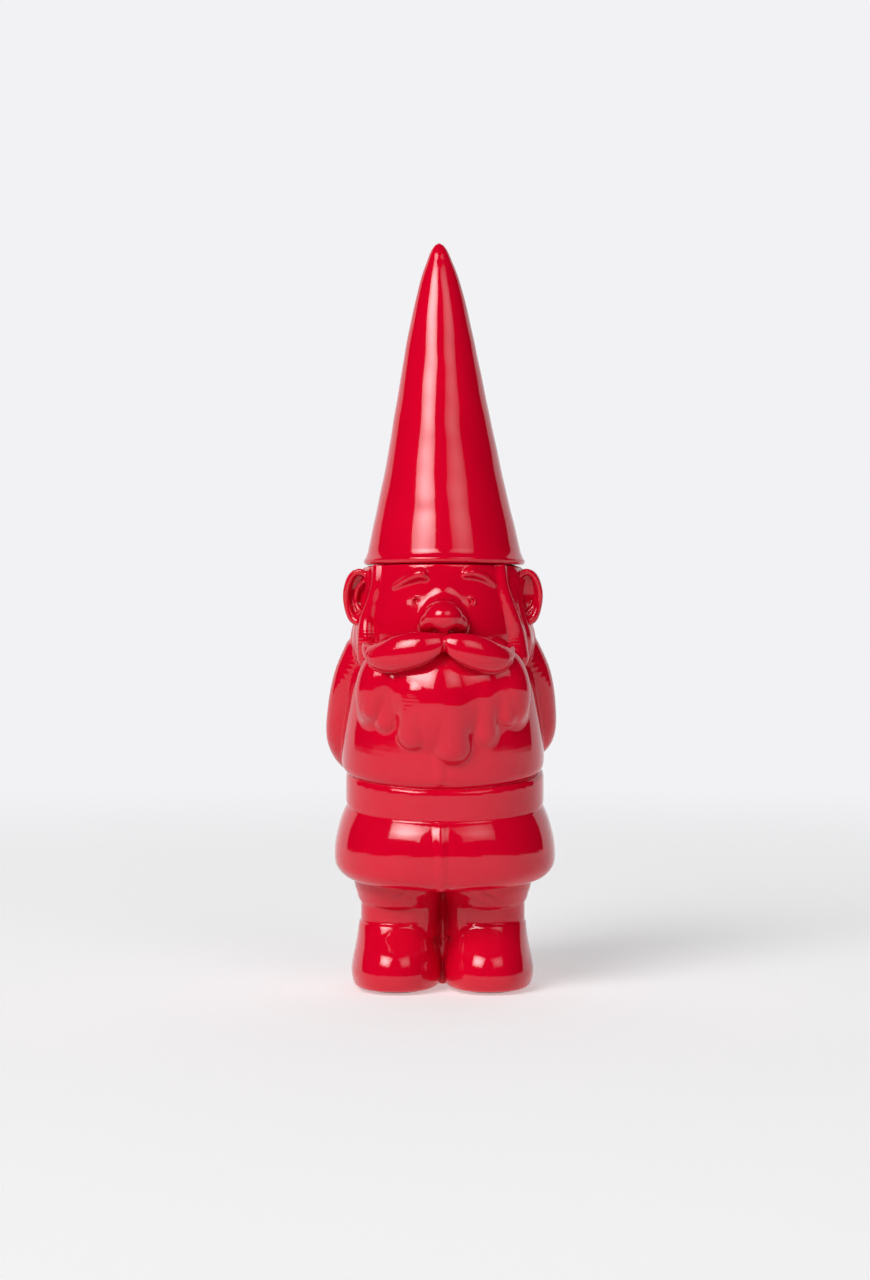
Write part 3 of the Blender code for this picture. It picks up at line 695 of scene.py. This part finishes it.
def make_glaze():
    """Opaque red under a clear wet gloss, faintly mottled, with slow swells and a fine peel in its surface."""
    material = bpy.data.materials.new("red_glaze_wet")
    material.use_nodes = True
    tree = material.node_tree
    shader = tree.nodes["Principled BSDF"]
    shader.inputs["Roughness"].default_value = 0.07
    shader.inputs["IOR"].default_value = 1.5
    place = node_of(tree, "ShaderNodeTexCoord")
    mottle = node_of(tree, "ShaderNodeTexNoise")
    mottle.inputs["Scale"].default_value = 38.0
    mottle.inputs["Detail"].default_value = 4.0
    tint = node_of(tree, "ShaderNodeMix", data_type="RGBA")
    tint.inputs["A"].default_value = (0.60, 0.0, 0.018, 1)
    tint.inputs["B"].default_value = (0.71, 0.001, 0.023, 1)
    tree.links.new(place.outputs["Object"], mottle.inputs["Vector"])
    tree.links.new(mottle.outputs["Fac"], tint.inputs["Factor"])
    tree.links.new(tint.outputs["Result"], shader.inputs["Base Color"])
    swells = node_of(tree, "ShaderNodeTexNoise")
    swells.inputs["Scale"].default_value = 60.0
    swells.inputs["Detail"].default_value = 1.0
    peel = node_of(tree, "ShaderNodeTexNoise")
    peel.inputs["Scale"].default_value = 420.0
    tree.links.new(place.outputs["Object"], swells.inputs["Vector"])
    tree.links.new(place.outputs["Object"], peel.inputs["Vector"])
    slow = node_of(tree, "ShaderNodeBump")
    slow.inputs["Strength"].default_value = 1.0
    slow.inputs["Distance"].default_value = 0.0002
    fast = node_of(tree, "ShaderNodeBump")
    fast.inputs["Strength"].default_value = 1.0
    fast.inputs["Distance"].default_value = 0.000006
    tree.links.new(swells.outputs["Fac"], slow.inputs["Height"])
    tree.links.new(peel.outputs["Fac"], fast.inputs["Height"])
    tree.links.new(slow.outputs["Normal"], fast.inputs["Normal"])
    tree.links.new(fast.outputs["Normal"], shader.inputs["Normal"])
    return material


def make_soft(name, dark, light, roughness, scale, relief):
    """A matt material, clouded between two colours and rough by relief metres."""
    material = bpy.data.materials.new(name)
    material.use_nodes = True
    tree = material.node_tree
    shader = tree.nodes["Principled BSDF"]
    shader.inputs["Roughness"].default_value = roughness
    place = node_of(tree, "ShaderNodeTexCoord")
    noise = node_of(tree, "ShaderNodeTexNoise")
    noise.inputs["Scale"].default_value = scale
    noise.inputs["Detail"].default_value = 6.0
    tint = node_of(tree, "ShaderNodeMix", data_type="RGBA")
    tint.inputs["A"].default_value = (*dark, 1)
    tint.inputs["B"].default_value = (*light, 1)
    bump = node_of(tree, "ShaderNodeBump")
    bump.inputs["Distance"].default_value = relief
    tree.links.new(place.outputs["Object"], noise.inputs["Vector"])
    tree.links.new(noise.outputs["Fac"], tint.inputs["Factor"])
    tree.links.new(noise.outputs["Fac"], bump.inputs["Height"])
    tree.links.new(tint.outputs["Result"], shader.inputs["Base Color"])
    tree.links.new(bump.outputs["Normal"], shader.inputs["Normal"])
    return material


def finish_small_parts(glaze):
    """CAD pieces whose shape is already right get their finish."""
    felt = make_soft("grey_felt", (0.28, 0.26, 0.26), (0.40, 0.38, 0.38), 0.95, 900.0, 0.0004)
    silicone = make_soft("milky_silicone", (0.66, 0.66, 0.64), (0.76, 0.76, 0.74), 0.4, 160.0, 0.00003)
    for node, material in (("hat_collar", glaze), ("hat_seal", silicone), ("foot_pad_left", felt),
                           ("foot_pad_right", felt)):
        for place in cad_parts[node].material_slots:
            place.material = material


# ---- Stage, light and camera ----
def make_stage():
    """A pale floor that curves up into a backdrop behind."""
    half, front, back, bend, top = 6000.0, -6000.0, 2600.0, 1400.0, 5000.0
    curve = [(front, 0.0), (back, 0.0)]
    curve += [(back + bend * math.sin(a), bend - bend * math.cos(a)) for a in np.linspace(0.1, math.pi / 2, 16)]
    curve.append((back + bend, top))
    points = [(x, y, z) for y, z in curve for x in (-half, half)]
    quads = [(2 * i, 2 * i + 1, 2 * i + 3, 2 * i + 2) for i in range(len(curve) - 1)]
    link_mesh("paper_sweep", points, quads, make_paper())


def make_paper():
    """White paper, evenly lit far away from the figure by lamps of its own, so it glows there."""
    near, far = 0.45, 1.7         # metres from the figure between which the glow takes over
    material = make_soft("pale_paper", (0.61, 0.61, 0.62), (0.63, 0.63, 0.64), 0.9, 2.0, 0.00001)
    tree = material.node_tree
    shader = tree.nodes["Principled BSDF"]
    glow = node_of(tree, "ShaderNodeEmission")
    glow.inputs["Color"].default_value = (0.887, 0.887, 0.905, 1)
    shader.inputs["Emission Color"].default_value = (1.0, 1.0, 1.0, 1)
    shader.inputs["Emission Strength"].default_value = 0.40
    place = node_of(tree, "ShaderNodeTexCoord")
    away = node_of(tree, "ShaderNodeVectorMath", operation="LENGTH")
    share = node_of(tree, "ShaderNodeMapRange", interpolation_type="SMOOTHSTEP")
    share.inputs["From Min"].default_value = near
    share.inputs["From Max"].default_value = far
    mix = node_of(tree, "ShaderNodeMixShader")
    tree.links.new(place.outputs["Object"], away.inputs[0])
    tree.links.new(away.outputs["Value"], share.inputs["Value"])
    tree.links.new(share.outputs["Result"], mix.inputs["Fac"])
    tree.links.new(shader.outputs["BSDF"], mix.inputs[1])
    tree.links.new(glow.outputs["Emission"], mix.inputs[2])
    tree.links.new(mix.outputs["Shader"], tree.nodes["Material Output"].inputs["Surface"])
    return material


def make_lights():
    """Two soft panels in a room that is dark ahead of the figure, so that the glaze shows them clearly."""
    world = bpy.data.worlds.new("studio")
    bpy.context.scene.world = world
    world.use_nodes = True
    tree = world.node_tree
    background = tree.nodes["Background"]
    place = node_of(tree, "ShaderNodeTexCoord")
    parts = node_of(tree, "ShaderNodeSeparateXYZ")
    ahead = node_of(tree, "ShaderNodeMapRange")
    ahead.inputs["From Min"].default_value = 0.75
    ahead.inputs["From Max"].default_value = 0.5
    ray = node_of(tree, "ShaderNodeLightPath")
    unseen = node_of(tree, "ShaderNodeMath", operation="SUBTRACT")
    unseen.inputs[0].default_value = 1.0
    gloom = node_of(tree, "ShaderNodeMath", operation="MULTIPLY")
    high = node_of(tree, "ShaderNodeMapRange")
    high.inputs["From Min"].default_value = -0.01
    high.inputs["From Max"].default_value = 0.02
    dark = node_of(tree, "ShaderNodeMath", operation="MULTIPLY")
    tint = node_of(tree, "ShaderNodeMix", data_type="RGBA")
    tint.inputs["A"].default_value = (0.93, 0.93, 0.95, 1)
    tint.inputs["B"].default_value = (0.004, 0.004, 0.004, 1)
    tree.links.new(place.outputs["Generated"], parts.inputs["Vector"])
    tree.links.new(parts.outputs["Y"], ahead.inputs["Value"])
    tree.links.new(parts.outputs["Z"], high.inputs["Value"])
    tree.links.new(ahead.outputs["Result"], dark.inputs[0])
    tree.links.new(high.outputs["Result"], dark.inputs[1])
    tree.links.new(ray.outputs["Is Camera Ray"], unseen.inputs[1])
    tree.links.new(dark.outputs["Value"], gloom.inputs[0])
    tree.links.new(unseen.outputs["Value"], gloom.inputs[1])
    tree.links.new(gloom.outputs["Value"], tint.inputs["Factor"])
    tree.links.new(tint.outputs["Result"], background.inputs["Color"])
    background.inputs["Strength"].default_value = 1.0
    softbox("softbox_left", azimuth=-35.0, elevation=37.0, width=3.7, height=3.3, glow=13.2)
    softbox("softbox_right", azimuth=28.0, elevation=36.0, width=3.4, height=3.2, glow=2.5)


def softbox(name, azimuth, elevation, width, height, glow):
    """A glowing panel aimed at the chest, hottest in its middle. Azimuth 0 is the camera's side."""
    distance = 6.0
    target = Vector((0, 0, 0.2))
    a, e = math.radians(azimuth), math.radians(elevation)
    corners = [(-width / 2, -height / 2, 0), (width / 2, -height / 2, 0), (width / 2, height / 2, 0),
               (-width / 2, height / 2, 0)]
    glowing = make_panel_glow(name, width, height, glow)
    panel = link_mesh(name, np.array(corners) / MM, [(0, 1, 2, 3)], glowing)
    away = Vector((math.sin(a) * math.cos(e), -math.cos(a) * math.cos(e), math.sin(e)))
    panel.location = target + distance * away
    panel.rotation_euler = (panel.location - target).to_track_quat("Z", "Y").to_euler()


def make_panel_glow(name, width, height, glow):
    """Light that fades from the panel's middle to its edges."""
    material = bpy.data.materials.new(name + "_glow")
    material.use_nodes = True
    tree = material.node_tree
    tree.nodes.remove(tree.nodes["Principled BSDF"])
    place = node_of(tree, "ShaderNodeTexCoord")
    scaled = node_of(tree, "ShaderNodeVectorMath", operation="MULTIPLY")
    scaled.inputs[1].default_value = (2 / width, 2 / height, 0)
    away = node_of(tree, "ShaderNodeVectorMath", operation="LENGTH")
    fade = node_of(tree, "ShaderNodeMapRange", interpolation_type="SMOOTHSTEP")
    fade.inputs["From Min"].default_value = 0.15
    fade.inputs["From Max"].default_value = 1.25
    fade.inputs["To Min"].default_value = glow
    fade.inputs["To Max"].default_value = glow * 0.3
    light = node_of(tree, "ShaderNodeEmission")
    tree.links.new(place.outputs["Object"], scaled.inputs[0])
    tree.links.new(scaled.outputs["Vector"], away.inputs[0])
    tree.links.new(away.outputs["Value"], fade.inputs["Value"])
    tree.links.new(fade.outputs["Result"], light.inputs["Strength"])
    tree.links.new(light.outputs["Emission"], tree.nodes["Material Output"].inputs["Surface"])
    return material


def make_camera():
    """Level with the beard, straight in front, the figure a little right of the middle."""
    camera = bpy.data.cameras.new("camera")
    camera.lens = 61.0
    made = bpy.data.objects.new("camera", camera)
    made.location = (-0.0042, -1.17, 0.186)
    made.rotation_euler = (math.pi / 2, 0, 0)
    bpy.context.scene.collection.objects.link(made)
    bpy.context.scene.camera = made
    bpy.context.scene.view_settings.view_transform = "Standard"


def main():
    glaze = make_glaze()
    make_skin(glaze)
    make_hat(glaze)
    make_inside(glaze)
    finish_small_parts(glaze)
    make_stage()
    make_lights()
    make_camera()


main()
